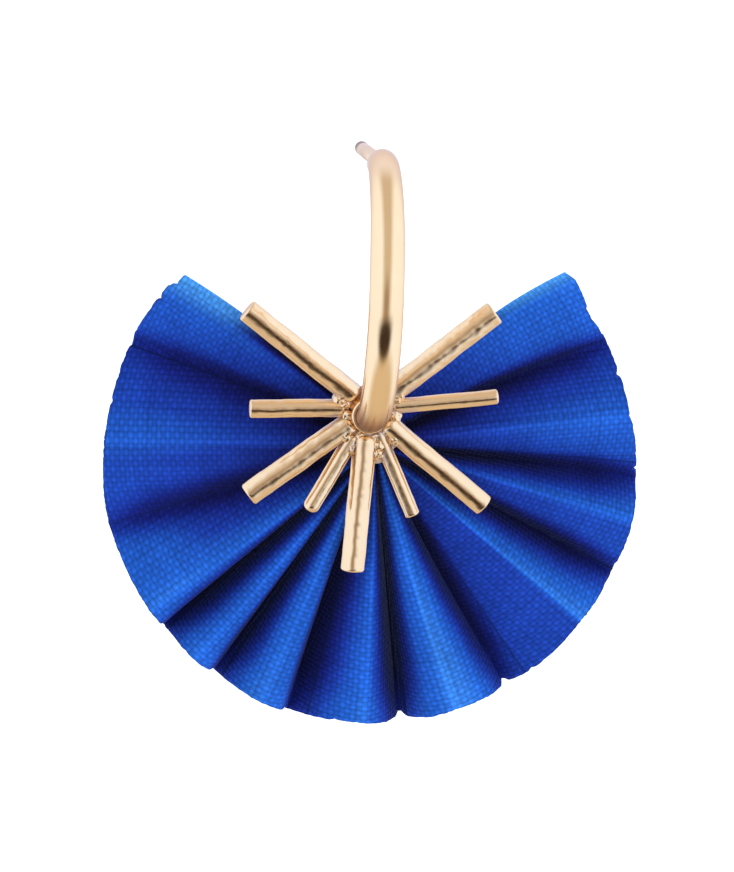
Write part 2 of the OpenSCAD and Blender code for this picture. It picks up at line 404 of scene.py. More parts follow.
fanCloth = {
    "rimRadius": 17.0 * mm,
    "rimShift": (0.35 * mm, -3.3 * mm),    # rim's centre from the burst's, right and up
    "ringShift": (0.1 * mm, 0.5 * mm),     # gathered ring's centre from the rim's
    "ringRadius": 0.85 * mm,
    "ringOpen": 1.4 * mm,                  # how far the ring opens at the fan's two ends
    "ringSpread": 1.19,
    "ringRelief": 0.2,                     # share of the folds' depth that is left at the ring
    "middleAngle": 269.0,                  # degrees, counted from the right over the top
    "foldDepth": 3.8 * mm,
    "roundness": 0.6,                      # of the ridges
    "thickness": 0.38 * mm,
    "columnStep": 0.52,                    # degrees
    "rows": 62,
    "ripple": 0.10 * mm,
    "rippleScale": 0.45,                   # waves per mm
    "fray": 0.05,                          # mm of unevenness along the rim
    "frayScales": (0.55, 1.9),             # slow and fast waves per degree
    # Nicks in the rim: angle, depth in mm, half width in degrees
    "nicks": [
        (137.2, 0.25, 0.9), (142.6, 0.22, 0.8), (154.0, 0.16, 1.2), (166.5, 0.10, 0.7), (218.9, 0.22, 0.8),
        (234.4, 0.28, 0.9), (252.0, 0.25, 0.8), (262.0, 0.10, 0.7), (277.2, 0.35, 1.0), (300.3, 0.35, 0.9),
        (306.5, 0.12, 0.7), (334.4, 0.28, 0.9), (355.2, 0.35, 0.9), (358.8, 0.20, 0.7), (377.5, 0.22, 0.9),
        (386.0, 0.25, 0.8), (393.6, 0.22, 0.7),
    ],
    # Fold lines: angle on the rim, depth behind the ridges, reach past the rim, sideways bow
    "folds": [
        (135.0, 0.20, -0.30, -0.45), (139.0, 0.04, 0.10, -0.35), (153.5, 0.73, -0.20, -0.10),
        (175.0, 0.00, 0.10, 0.00), (195.5, 0.73, 0.15, 0.00), (214.0, 0.00, 0.15, 0.10),
        (217.2, 0.14, 0.10, 0.12), (220.3, 1.00, 0.15, 0.10), (225.0, 0.16, 0.10, 0.10),
        (228.0, 0.00, 0.15, 0.15), (231.2, 0.14, 0.15, 0.20), (235.3, 1.00, 0.25, 0.15),
        (241.0, 0.16, 0.15, 0.00), (245.0, 0.00, 0.20, 0.00), (249.2, 0.16, 0.30, 0.00),
        (253.0, 1.00, 0.62, 0.00), (263.5, 0.20, 0.20, 0.05), (268.0, 0.00, 0.15, 0.15),
        (271.0, 0.20, 0.35, 0.15), (276.9, 1.00, 0.60, 0.05), (283.0, 0.16, 0.40, -0.20),
        (288.0, 0.00, 0.25, -0.22), (295.5, 0.24, 0.50, -0.25), (300.2, 0.90, 0.82, -0.15),
        (307.0, 0.50, 0.75, 0.00), (321.3, 0.00, 0.20, 0.00), (332.6, 0.82, 0.88, 0.05),
        (336.0, 0.45, 0.62, 0.05), (345.3, 0.00, 0.28, 0.05), (353.2, 0.73, 0.50, 0.05),
        (368.5, 0.00, -0.35, 0.05), (383.4, 0.73, -0.15, 0.20), (391.5, 0.27, -0.50, 0.35),
        (401.0, 0.00, 0.10, 0.80), (403.5, 0.12, -0.05, 0.90),
    ],
    # Shadows in the valleys: angle, darkness, width on the low and high side, widening toward the hub
    "valleys": [
        (153.4, 0.50, 2.9, 7.2, 0.2), (194.9, 0.60, 5.0, 3.9, 1.0), (219.9, 1.12, 2.9, 4.0, 0.6),
        (234.8, 1.12, 2.6, 4.7, 0.4), (252.9, 1.00, 2.1, 8.1, 0.6), (276.1, 1.18, 4.8, 4.6, 0.2),
        (300.3, 0.70, 3.5, 3.5, 1.0), (333.8, 0.82, 5.0, 2.9, 0.8), (354.7, 0.70, 4.9, 2.7, 0.0),
        (384.8, 0.66, 6.0, 2.3, 0.2),
    ],
    # Soft shades near the hub: angle, darkness, half width
    "hubShades": [(202.5, 0.34, 6.0), (298.0, 0.12, 4.0)],
    # How far each face is turned from the light, below 0 where it shines
    "faces": [
        (135, 0.00), (139, 0.02), (146, 0.17), (166, 0.26), (169, 0.16), (172, 0.10), (175, 0.08),
        (180, 0.24), (190, 0.22), (199, 0.08), (210, 0.00), (213, -0.05), (215, 0.00), (226, -0.04),
        (230, 0.00), (242.5, -0.06), (249, 0.00), (263, -0.02), (268, -0.06), (271, 0.02), (284, 0.00),
        (287, -0.06), (288.2, -0.14), (292, -0.09), (297, 0.04), (304, 0.27), (320.0, 0.26), (321.4, -0.10),
        (324.5, -0.03), (330, 0.17), (338, 0.18), (341, 0.24), (343.5, 0.21), (346, -0.02), (351, 0.22),
        (360, 0.15), (368, 0.04), (376, 0.22), (386, 0.18), (393, 0.05), (400, -0.02), (403.5, -0.12),
    ],
    # Cloth folded over at both ends: degrees of its width on the left and right, strength on the right
    "foldedEnds": (7.0, 3.0, 0.7),
    "underRod": 1.5,          # shade below the first rod
}

rimCentre = Vector((footPoint.x, footPoint.z)) + Vector(fanCloth["rimShift"])
ringCentre = rimCentre + Vector(fanCloth["ringShift"])


def onCircle(centre, radius, angle):
    a = math.radians(angle)
    return centre + radius * Vector((math.cos(a), math.sin(a)))


def clothColumns(cloth):
    # Finer lines between the fold lines: round over a ridge, sharp in a valley
    folds = cloth["folds"]
    columns = []
    for a, b in zip(folds, folds[1:]):
        count = max(2, math.ceil((b[0] - a[0]) / cloth["columnStep"]))
        for k in range(count):
            columns.append(betweenFolds(a, b, k / count, cloth["roundness"]))
    columns.append(folds[-1])
    return columns


def betweenFolds(a, b, t, roundness):
    u = t if a[1] < b[1] else 1 - t
    low, high = min(a[1], b[1]), max(a[1], b[1])
    rise = (1 - roundness) * u + roundness * (1 - math.cos(u * math.pi / 2))
    line = [p + (q - p) * t for p, q in zip(a, b)]
    return (line[0], low + (high - low) * rise, line[2], line[3])


def smooth(x):
    x = max(0.0, min(1.0, x))
    return x * x * (3 - 2 * x)


def rimWear(cloth, angle):
    # How far the cut edge is worn out or in at an angle, in mm
    waves = [noise.noise(Vector((angle * scale, i + 1, 0))) for i, scale in enumerate(cloth["frayScales"])]
    wear = cloth["fray"] * sum(waves)
    for at, depth, half in cloth["nicks"]:
        wear -= depth * max(0.0, 1 - abs(angle - at) / half)
    return wear


def clothPoint(cloth, column, t):
    angle, share, reach, bow = column
    halfSpan = (cloth["folds"][-1][0] - cloth["folds"][0][0]) / 2
    off = angle - cloth["middleAngle"]
    inner = onCircle(
        ringCentre,
        cloth["ringRadius"] + cloth["ringOpen"] * (abs(off) / halfSpan) ** 4,
        cloth["middleAngle"] + off * cloth["ringSpread"],
    )
    outer = onCircle(rimCentre, cloth["rimRadius"] + (reach + rimWear(cloth, angle)) * mm, angle)
    along = (outer - inner).normalized()
    flat = inner + (outer - inner) * t + Vector((-along.y, along.x)) * bow * mm * 4 * t * (1 - t)
    relief = cloth["ringRelief"] + (1 - cloth["ringRelief"]) * math.sin(t * math.pi / 2)
    wave = noise.noise(Vector((flat.x, flat.y, 3 * share * mm)) / mm * cloth["rippleScale"])
    ripple = cloth["ripple"] * t * (0.5 + wave)
    return Vector((flat.x, ridgeY + share * cloth["foldDepth"] * relief + ripple, flat.y))


def faceTone(faces, angle):
    for (a, low), (b, high) in zip(faces, faces[1:]):
        if a <= angle <= b:
            return low + (high - low) * (angle - a) / (b - a)
    return 0.0


def valleyTone(cloth, column, t):
    # 0 on a ridge in full light, 1 at the bottom of a fold or in the gathers
    angle = column[0]
    narrow = 0.78 + 0.22 * smooth((0.97 - t) / 0.15)    # shadows are narrower at the rim
    pale = 0.64 + 0.36 * smooth((1.0 - t) / 0.2)        # and paler on its last fifth
    steep = 1.9 + 1.6 * max(0.0, 0.9 - t)               # their flanks are steeper near the hub
    tone = faceTone(cloth["faces"], angle)
    for at, dark, low, high, growth in cloth["valleys"]:
        spread = (high if angle > at else low) * (narrow + growth * max(0.0, 0.82 - t))
        tone += dark * pale * math.exp(-(abs(angle - at) / spread) ** steep)
    nearHub = smooth((0.86 - t) / 0.3)
    for at, dark, half in cloth["hubShades"]:
        tone += dark * nearHub * math.exp(-((angle - at) / half) ** 2)
    upper = smooth((abs(angle - cloth["middleAngle"]) - 60) / 30)
    gathers = min(1.6, (1 - t) / 0.61) ** 2
    tone += (0.11 + 0.15 * upper) * gathers
    belowRod = smooth((0.80 - t) / 0.4) * smooth((141 - angle) / 5)
    tone += cloth["underRod"] * belowRod
    return max(-0.15, min(1.0, tone / 1.15))


def backTone(cloth, column, t):
    # Painted shade from behind, where the front's ridges are the valleys
    return min(1.0, 0.08 + 0.75 * (1 - column[1]) ** 3 + 0.5 * (1 - t) ** 2)


def paleEdge(cloth, column, t):
    # Both ends of the fan are folded over and catch the light on their outer half
    angle = column[0]
    first, last = cloth["folds"][0][0], cloth["folds"][-1][0]
    left, right, rightShare = cloth["foldedEnds"]
    ends = max(smooth(1 - (angle - first) / left), rightShare * smooth(1 - (last - angle) / right))
    return ends * smooth((t - 0.55) / 0.25)


def gridNormals(grid):
    across = np.gradient(grid, axis=0)
    along = np.gradient(grid, axis=1)
    n = np.cross(across, along)
    n /= np.linalg.norm(n, axis=2, keepdims=True) + 1e-12
    return n


def buildFanCloth(cloth):
    columns = clothColumns(cloth)
    rows = cloth["rows"]
    grid = np.array([[clothPoint(cloth, c, k / (rows - 1)) for k in range(rows)] for c in columns])
    normals = gridNormals(grid)
    if normals[len(columns) // 2, rows // 2, 1] > 0:
        normals = -normals
    back = grid - normals * cloth["thickness"]
    count = len(columns)
    verts = [tuple(p) for layer in (grid, back) for line in layer for p in line]

    def index(layer, i, k):
        return layer * count * rows + i * rows + k

    faces = []
    for i in range(count - 1):
        for k in range(rows - 1):
            front, behind = [(index(layer, i, k), index(layer, i, k + 1), index(layer, i + 1, k + 1),
                              index(layer, i + 1, k)) for layer in (0, 1)]
            faces += [front, behind[::-1]]
    for i in range(count - 1):
        for k, flip in ((0, False), (rows - 1, True)):
            quad = (index(0, i, k), index(0, i + 1, k), index(1, i + 1, k), index(1, i, k))
            faces.append(quad[::-1] if flip else quad)
    for k in range(rows - 1):
        for i, flip in ((0, True), (count - 1, False)):
            quad = (index(0, i, k), index(0, i, k + 1), index(1, i, k + 1), index(1, i, k))
            faces.append(quad if flip else quad[::-1])
    obj = meshFrom("pleated_cloth", verts, faces)
    addFlatMap(obj, grid, columns, cloth)
    return obj, grid


def addFlatMap(obj, grid, columns, cloth):
    # Flat coordinates in millimetres: U along the folds from the hub, V across from the nearest ridge
    count, rows = grid.shape[:2]
    steps = np.linalg.norm(np.diff(grid, axis=0), axis=2) / mm
    run = np.vstack([np.zeros((1, rows)), np.cumsum(steps, axis=0)])
    ridgeAngles = [f[0] for f in cloth["folds"] if f[1] < 0.02]
    ridges = [i for i, c in enumerate(columns) if c[0] in ridgeAngles or i in (0, count - 1)]
    nearest = [min(ridges, key=lambda r: abs(columns[r][0] - columns[i][0])) for i in range(count)]
    across = np.array([run[i] - run[nearest[i]] for i in range(count)])
    lengths = np.linalg.norm(np.diff(grid, axis=1), axis=2) / mm
    along = np.hstack([np.zeros((count, 1)), np.cumsum(lengths, axis=1)])
    layer = obj.data.uv_layers.new(name="flat")
    size = count * rows
    corners = np.empty(len(obj.data.loops), dtype=np.int32)
    obj.data.loops.foreach_get("vertex_index", corners)
    corners %= size
    flat = np.stack([along.ravel()[corners], across.ravel()[corners]], axis=1)
    layer.data.foreach_set("uv", flat.ravel().astype(np.float32))
    levels = [k / (rows - 1) for k in range(rows)]
    for name, tones in (("valley", (valleyTone, backTone)), ("paleEdge", (paleEdge, paleEdge))):
        markPoints(obj, name, [tone(cloth, c, t) for tone in tones for c in columns for t in levels])


fan, fanGrid = buildFanCloth(fanCloth)
finishPiece(fan, materials["cloth"], "fan")
fan.visible_glossy = False    # the gold shows no blue


# Lathe and sweep

def ringQuads(a, b, count):
    # Quads between two rings of points that begin at a and b
    return [(a + k, a + (k + 1) % count, b + (k + 1) % count, b + k) for k in range(count)]


def poleFaces(rings, segments):
    # Faces over rings of points between a pole at the front and one at the back
    end = 1 + rings * segments
    faces = []
    for k in range(segments):
        j = (k + 1) % segments
        faces.append((0, 1 + j, 1 + k))
        for a in range(1, end - segments, segments):
            faces.append((a + k, a + j, a + segments + j, a + segments + k))
        faces.append((end, end - segments + k, end - segments + j))
    return faces


def latheSolid(name, profile, centre, segments, wobble=0.0, seed=0.0):
    # profile is a list of (radius, y) from the front pole to the back pole, both of radius 0
    verts = [(centre[0], profile[0][1], centre[1])]
    for radius, y in profile[1:-1]:
        for k in range(segments):
            a = 2 * math.pi * k / segments
            push = 1 + wobble * noise.noise(Vector((math.cos(a) * 1.5, math.sin(a) * 1.5, seed + y / mm)))
            x, z = radius * push * math.cos(a), radius * push * math.sin(a)
            verts.append((centre[0] + x, y, centre[1] + z))
    verts.append((centre[0], profile[-1][1], centre[1]))
    return meshFrom(name, verts, poleFaces(len(profile) - 2, segments))


def roundedEdge(radius, y, bend, toBack, steps=5):
    # Points of a quarter round at the rim of a disc, from the front face out or from the rim back in
    points = []
    for k in range(steps + 1):
        a = math.pi / 2 * k / steps
        if toBack:
            points.append((radius - bend + bend * math.cos(a), y - bend + bend * math.sin(a)))
        else:
            points.append((radius - bend + bend * math.sin(a), y + bend - bend * math.cos(a)))
    return points


def sweepSolid(name, path, sections, sides, firstSide=None):
    # Closed tube along a path: a section gives its two offsets at an angle
    verts, faces, frames = [], [], []
    for i, p in enumerate(path):
        ahead = (path[min(i + 1, len(path) - 1)] - path[max(i - 1, 0)]).normalized()
        if frames:
            side = frames[-1][0] - ahead * frames[-1][0].dot(ahead)
        else:
            side = firstSide or ahead.orthogonal()
        side.normalize()
        frames.append((side, ahead.cross(side)))
    for p, section, (side, up) in zip(path, sections, frames):
        for k in range(sides):
            x, y = section(2 * math.pi * k / sides)
            verts.append(p + side * x + up * y)
    for i in range(len(path) - 1):
        faces += ringQuads(i * sides, (i + 1) * sides, sides)
    for ring, flip in ((0, True), (len(path) - 1, False)):
        verts.append(path[ring])
        pole = len(verts) - 1
        for k in range(sides):
            j = (k + 1) % sides
            tri = (pole, ring * sides + k, ring * sides + j)
            faces.append(tri[::-1] if flip else tri)
    return meshFrom(name, verts, faces)


def keepSharp(obj, degrees):
    obj.data.shade_smooth()
    obj.data.set_sharp_from_angle(angle=math.radians(degrees))


def uniteInto(base, others):
    for other in others:
        join = base.modifiers.new("join", "BOOLEAN")
        join.operation = "UNION"
        join.solver = "MANIFOLD"
        join.object = other
    applyModifiers(base)
    for other in others:
        bpy.data.objects.remove(other)


# Ear hook

hookWire = {
    "turn": 3.0,              # degrees that the bow is swung to the left
    "topRadius": 0.98 * mm,
    "midRadius": 1.07 * mm,
    "footRadius": 0.87 * mm,
    "tipRadius": 0.80 * mm,
    "tipLength": 0.50 * mm,
    "footLength": 0.85 * mm,  # straight part that goes into the burst
    "seatFrom": 0.55,         # share of the bow where it begins to lean to its seat
    "steps": 150,
    "endSteps": 8,
    "sides": 56,
    "handWobble": 0.012,
    "shadeAbove": 1.95,        # mm above the foot's middle where its painted shade begins
    "shadeFade": 1.1,
    "shadeFront": 9.0,         # mm in front of the origin where the painted shade begins
    "shadeFrontFade": 3.0,
}


def buildHook(wire):
    top = Vector((0, hookFootY, 0))
    middle = (top + footPoint) / 2
    up = (top - footPoint).normalized()
    radius = (top - footPoint).length / 2
    turn = math.radians(wire["turn"])
    front = Vector((-math.sin(turn), -math.cos(turn), 0))
    front = (front - up * front.dot(up)).normalized()
    path, sizes = [], []

    def widthAt(share):
        mid = wire["midRadius"]
        if share < 0.5:
            return wire["topRadius"] + (mid - wire["topRadius"]) * math.sin(share * math.pi)
        return mid + (wire["footRadius"] - mid) * (2 * share - 1) ** 4

    endSteps = wire["endSteps"]
    for k in range(endSteps):
        t = k / endSteps
        path.append(top + Vector((0, wire["tipLength"] * (1 - t), 0)))
        sizes.append(wire["tipRadius"] + (widthAt(0) - wire["tipRadius"]) * math.sin(t * math.pi / 2))
    for k in range(wire["steps"] + 1):
        share = k / wire["steps"]
        a = math.pi * share
        lean = seatShift * smooth((share - wire["seatFrom"]) / (1 - wire["seatFrom"]))
        path.append(middle + (up * math.cos(a) + front * math.sin(a)) * radius + lean)
        sizes.append(widthAt(share))
    for k in range(1, endSteps + 1):
        path.append(footPoint + seatShift + Vector((0, wire["footLength"] * k / endSteps, 0)))
        sizes.append(wire["footRadius"])

    def uneven(i, size):
        def place(a):
            push = noise.noise(Vector((math.cos(a) * 0.8, math.sin(a) * 0.8, i * 0.045)))
            here = size * (1 + wire["handWobble"] * push)
            return here * math.cos(a), here * math.sin(a)
        return place

    return sweepSolid("ear_hook_wire", path, [uneven(i, s) for i, s in enumerate(sizes)], wire["sides"])


def markFoot(obj, wire):
    # Painted shade and dark reflection: 1 on the wire's foot, 0 higher up and further in front
    values = []
    for v in obj.data.vertices:
        below = (footPoint.z - v.co.z) / mm + 0.4 * noise.noise(v.co / mm * 0.9)
        low = smooth((below + wire["shadeAbove"]) / wire["shadeFade"])
        values.append(low * smooth((v.co.y / mm + wire["shadeFront"]) / wire["shadeFrontFade"]))
    markPoints(obj, "foot", values)


hook = buildHook(hookWire)
markFoot(hook, hookWire)
keepSharp(hook, 40)
finishPiece(hook, materials["gold"], "ear_hook")
print("hook built")


# Burst of rods

burstRods = {
    # angle, length from the centre, width, depth, roundness of the end, where the root begins, shift upward
    "rods": [
        (140.8, 10.1, 1.46, 1.3, 0.14, 1.20, 0.08), (179.5, 7.6, 1.14, 1.0, 0.12, 1.60, 0.11),
        (214.6, 9.4, 1.47, 1.2, 0.16, 1.40, 0.00), (238.7, 7.5, 1.02, 0.9, 0.40, 1.90, 0.00),
        (264.3, 10.4, 1.48, 1.4, 0.16, 1.65, 0.09), (292.4, 7.4, 0.94, 0.8, 0.14, 1.50, -0.07),
        (319.2, 9.7, 1.38, 1.2, 0.12, 1.35, -0.02), (364.6, 8.2, 0.94, 0.9, 0.16, 1.45, 0.02),
        (396.8, 10.0, 1.56, 1.2, 0.13, 1.20, 0.06),
    ],
    "square": 2.45,           # 2 is round, more is squarer
    "ridge": 14.0,            # degrees below the front where a blunt edge runs along the rod
    "faceWander": 15.0,       # degrees that this edge wanders
    "rootRound": 0.55,        # of the inner end, as a share of half the depth
    "step": 0.11 * mm,
    "sides": 44,
    "handWobble": 0.035,
    "handBend": 0.045 * mm,
    # Solder between the rods: angle and reach from the foot
    "webs": [
        (88.8, 1.50), (160.0, 2.45), (197.0, 1.75), (226.5, 2.75), (251.5, 3.25),
        (278.5, 3.40), (305.8, 2.95), (341.8, 2.05), (380.7, 2.35),
    ],
    "webFront": 0.30 * mm,    # solder in front of and behind the rods' middle
    "webBack": 0.70 * mm,
    "webSlope": 0.40 * mm,    # how far its face falls back toward its edge
    "collarRadius": 1.02 * mm,
    "collarRim": 0.13 * mm,
    "collarFlare": 1.40 * mm,
    "collarFront": 0.05 * mm,
    "cupDepth": 0.14 * mm,    # from the collar's rim down to the solder inside
    "rivetRadius": 0.68 * mm,
    "rivetPast": 0.13 * mm,   # past the back plate
    "beads": 3,               # between two rods
}


def buildRod(number, row, rods):
    angle, length, width, depth, endRound, root, shift = row
    a = math.radians(angle)
    along = Vector((math.cos(a), 0, math.sin(a)))
    side = Vector((-math.sin(a), 0, math.cos(a)))
    if side.z > 0:
        side = -side
    start = Vector((footPoint.x, rodPlaneY, footPoint.z)) - side * shift * mm
    r, endRound = depth * mm / 2, endRound * mm
    rootRound = rods["rootRound"] * r
    stretch = length * mm - endRound - root * mm - rootRound
    count = math.ceil(stretch / rods["step"])
    stations = []
    for k in range(5):
        t = math.pi / 2 * k / 5
        stations.append((root * mm + rootRound * (1 - math.cos(t)), 1 - rootRound / r * (1 - math.sin(t))))
    stations += [(root * mm + rootRound + stretch * k / count, 1.0) for k in range(count + 1)]
    for k in range(1, 6):
        t = math.pi / 2 * k / 6
        s = length * mm - endRound + endRound * math.sin(t)
        stations.append((s, 1 - endRound * (1 - math.cos(t)) / r))
    front = along.cross(side).y < 0
    path, sizes = [], []
    for s, share in stations:
        bend = rods["handBend"] * noise.noise(Vector((number * 7.1, s / mm * 0.35, 0)))
        lift = rods["handBend"] * noise.noise(Vector((number * 3.7, s / mm * 0.35, 5)))
        path.append(start + along * s + side * bend + Vector((0, lift, 0)))
        wander = rods["faceWander"] * (noise.noise(Vector((number * 2.3, s / mm * 1.4, 9)))
                                       + 0.7 * noise.noise(Vector((number * 2.3, s / mm * 3.1, 4))))
        tilt = math.radians(45 - rods["ridge"] + wander) * (1 if front else -1)

        def uneven(turn, s=s, share=share, tilt=tilt):
            at = Vector((math.cos(turn) * 0.9 + number * 5, math.sin(turn) * 0.9, s / mm * 0.8))
            fine = Vector((math.cos(turn) * 2 + number * 5, math.sin(turn) * 2, s / mm * 2.2))
            square = rods["square"]
            section = abs(math.cos(turn + tilt)) ** square + abs(math.sin(turn + tilt)) ** square
            size = r * share * section ** (-1 / square) * 0.95
            size *= 1 + rods["handWobble"] * (noise.noise(at) + 0.3 * noise.noise(fine))
            return math.cos(turn) * size * width / depth, math.sin(turn) * size

        sizes.append(uneven)
    return sweepSolid("rod", path, sizes, rods["sides"], side)


def webReach(angle, rods):
    # Reach of the solder at an angle: least between two rods, more beside and under them
    angles = [r[0] for r in rods["rods"]]
    first = angles[-1] - 360
    angle = (angle - first) % 360 + first
    for a, b, (_, reach) in zip([first] + angles, angles, rods["webs"]):
        if a <= angle <= b:
            t = (angle - a) / (b - a)
            wide = b - a > 60
            return reach + (1.1 if wide else 0.45) * abs(2 * t - 1) ** 3


def buildPlate(rods):
    segments, rings = 180, 14
    front, back = rodPlaneY - rods["webFront"], rodPlaneY + rods["webBack"]
    verts = [(footPoint.x, front, footPoint.z)]
    # Share of the reach and of the way to the back, over the front face and round the edge
    levels = [(k / rings, 0.0) for k in range(1, rings + 1)]
    levels += [(1.0, 0.35), (0.96, 0.75), (0.8, 1.0), (0.4, 1.0)]
    for share, down in levels:
        for k in range(segments):
            turn = 360 * k / segments
            reach = webReach(turn, rods) * (1 + 0.06 * noise.noise(Vector((turn * 0.11, 4, 4))))
            a, r = math.radians(turn), reach * share * mm
            x, z = footPoint.x + r * math.cos(a), footPoint.z + r * math.sin(a)
            coarse = 0.16 * noise.noise(Vector((x, 0, z)) / mm * 1.6)
            fine = 0.10 * noise.noise(Vector((x, 5, z)) / mm * 4)
            y = front + rods["webSlope"] * share ** 2 + (coarse + fine) * mm * (1 - down)
            verts.append((x, y + (back - y) * down, z))
    verts.append((footPoint.x, back, footPoint.z))
    faces = [(face[0], *face[:0:-1]) for face in poleFaces(len(levels), segments)]
    return meshFrom("burst", verts, faces)


def buildCollar(rods):
    centre = (footPoint.x + seatShift.x, footPoint.z + seatShift.z)
    front = hookFootY - rods["collarFront"]
    cup = front + rods["cupDepth"]
    middle, rim, wide = rods["collarRadius"], rods["collarRim"], rods["collarFlare"]
    profile = [(0, cup), (middle - rim, cup)]
    for k in range(13):
        a = math.pi * k / 12
        profile.append((middle - rim * math.cos(a), front + rim - rim * math.sin(a)))
    thin, depth = middle + rim, rodPlaneY - front - rim
    for k in range(1, 9):
        t = k / 8
        profile.append((thin + (wide - thin) * t ** 2.5, front + rim + depth * t))
    profile += [(wide, rodPlaneY + 0.3 * mm), (0, rodPlaneY + 0.3 * mm)]
    return latheSolid("collar", profile, centre, 72, wobble=0.04, seed=3.0)


def buildRivet(rods):
    centre = (ringCentre.x, ringCentre.y)
    radius, back = rods["rivetRadius"], plateHigh[1] + rods["rivetPast"]
    profile = [(0, rodPlaneY), (radius, rodPlaneY), (radius, plateLow[1] - 0.05 * mm)]
    profile += roundedEdge(radius, back, 0.12 * mm, True)
    profile.append((0, back + 0.01 * mm))
    return latheSolid("rivet", profile, centre, 48)


def buildLumps(rods):
    # Beads of solder of all sizes round the collar and between the rods
    lumps = []
    for i, (angle, reach) in enumerate(rods["webs"]):
        for k in range(rods["beads"]):
            aside, bigger = (noise.noise(Vector((i * 3.3 + 0.4, k * 2.7 + 0.3, z))) for z in (1.5, 8.5))
            at = math.radians(angle + 14 * aside)
            out = (1.45 + (reach - 1.75) * (0.25 + 0.3 * k)) * mm
            size = (0.20 + 0.13 * abs(bigger) + 0.05 * k) * mm
            bpy.ops.mesh.primitive_ico_sphere_add(subdivisions=4, radius=1)
            lump = bpy.context.object
            for v in lump.data.vertices:
                v.co *= 1 + 0.35 * noise.noise(v.co * 1.3 + Vector((i, k, 0)))
            lump.data.transform(Matrix.Diagonal((size * 1.25, size, size * 1.25, 1)))
            lump.data.transform(Matrix.Translation((
                footPoint.x + out * math.cos(at), rodPlaneY - 0.18 * mm, footPoint.z + out * math.sin(at))))
            lumps.append(lump)
    return lumps


def buildBurst(rods):
    plate = buildPlate(rods)
    made = [buildRod(i, row, rods) for i, row in enumerate(rods["rods"])]
    uniteInto(plate, made + buildLumps(rods) + [buildCollar(rods), buildRivet(rods)])
    # Solder is 1 near the hub from the front of the webs to the root of the rivet
    values = []
    for v in plate.data.vertices:
        out = Vector((v.co.x - footPoint.x, 0, v.co.z - footPoint.z)).length / mm
        behind = (v.co.y - rodPlaneY) / mm
        patch = 0.3 * noise.noise(v.co / mm * 1.5)
        deep = smooth((behind + 0.45 + patch) / 0.4) * smooth((1.6 - behind) / 0.4)
        values.append(deep * smooth((3.9 - out) / 1.0))
    markPoints(plate, "solder", values)
    plate.name = "rod_burst"
    return plate


burst = buildBurst(burstRods)
keepSharp(burst, 50)
finishPiece(burst, materials["burst"], "burst")
print("burst built,", len(burst.data.polygons), "faces")


# Post

postPin = {
    "radius": 0.45 * mm,
    "rootRadius": 0.40 * mm,
    "shoulder": -2.4 * mm,
    "grooveFromTip": 1.3 * mm,    # notch for the clutch
    "grooveDepth": 0.05 * mm,
    "grooveHalf": 0.28 * mm,
    "tipRound": 0.3 * mm,
    "tipDark": 1.5 * mm,      # length of the darkened end, darkest on top
    "tipFade": 0.5 * mm,
}


def buildPost(pin):
    centre = (0.0, 0.0)
    tip = postHigh[1]
    groove = tip - pin["grooveFromTip"]
    radius, root, shoulder = pin["radius"], pin["rootRadius"], pin["shoulder"]
    chamfer = 0.02 * mm
    profile = [(0, postLow[1]), (root, postLow[1]), (root, shoulder),
               (radius - chamfer, shoulder), (radius, shoulder + chamfer)]
    for k in range(13):
        t = k / 12
        dip = pin["grooveDepth"] * (0.5 - 0.5 * math.cos(t * 2 * math.pi))
        profile.append((radius - dip, groove + pin["grooveHalf"] * (2 * t - 1)))
    profile += roundedEdge(radius, tip, pin["tipRound"], True, 7)
    profile.append((0, tip))
    made = latheSolid("ear_post_pin", profile, centre, 48)
    values = []
    for v in made.data.vertices:
        above = 0.3 + 0.7 * smooth(0.5 + v.co.z / radius)
        values.append(smooth((v.co.y - tip + pin["tipDark"]) / pin["tipFade"]) * above)
    markPoints(made, "tip", values)
    return made


post = buildPost(postPin)
keepSharp(post, 50)
finishPiece(post, materials["post"], "ear_post")


# Back plate

backPlate = {
    "hole": 0.73 * mm,
    "edgeRound": 0.16 * mm,
    "dish": 0.06 * mm,        # depth of the sunk middle
    "dishFrom": 0.72,         # shares of the radius where it begins and is full
    "dishTo": 0.66,
    "segments": 96,
}


def buildBackPlate(plate):
    centre = ((plateLow[0] + plateHigh[0]) / 2, (plateLow[2] + plateHigh[2]) / 2)
    radius = (plateHigh[0] - plateLow[0]) / 2
    front, back = plateLow[1], plateHigh[1]
    hole, edge, sunk = plate["hole"], plate["edgeRound"], back - plate["dish"]
    ring = [(hole, front)] + roundedEdge(radius, front, edge, False) + roundedEdge(radius, back, edge, True)
    ring += [(radius * plate["dishFrom"], back), (radius * plate["dishTo"], sunk), (hole + 0.25 * mm, sunk),
             (hole + 0.06 * mm, back - 0.03 * mm), (hole, back - 0.1 * mm)]
    segments = plate["segments"]
    verts, faces = [], []
    for r, y in ring:
        for k in range(segments):
            a = 2 * math.pi * k / segments
            verts.append((centre[0] + r * math.cos(a), y, centre[1] + r * math.sin(a)))
    for i in range(len(ring)):
        faces += ringQuads(i * segments, (i + 1) % len(ring) * segments, segments)
    return meshFrom("back_disc", verts, faces)


backDisc = buildBackPlate(backPlate)
keepSharp(backDisc, 35)
finishPiece(backDisc, materials["back"], "back_plate")
print("post and back plate built")


# Stage, lights and world

stageSetup = {
    "floorDrop": 0.090,      # below the object's lowest point
    "floorSize": 12.0,
    "floorColour": (0.90, 0.92, 0.96),
    "glow": 0.45,
}


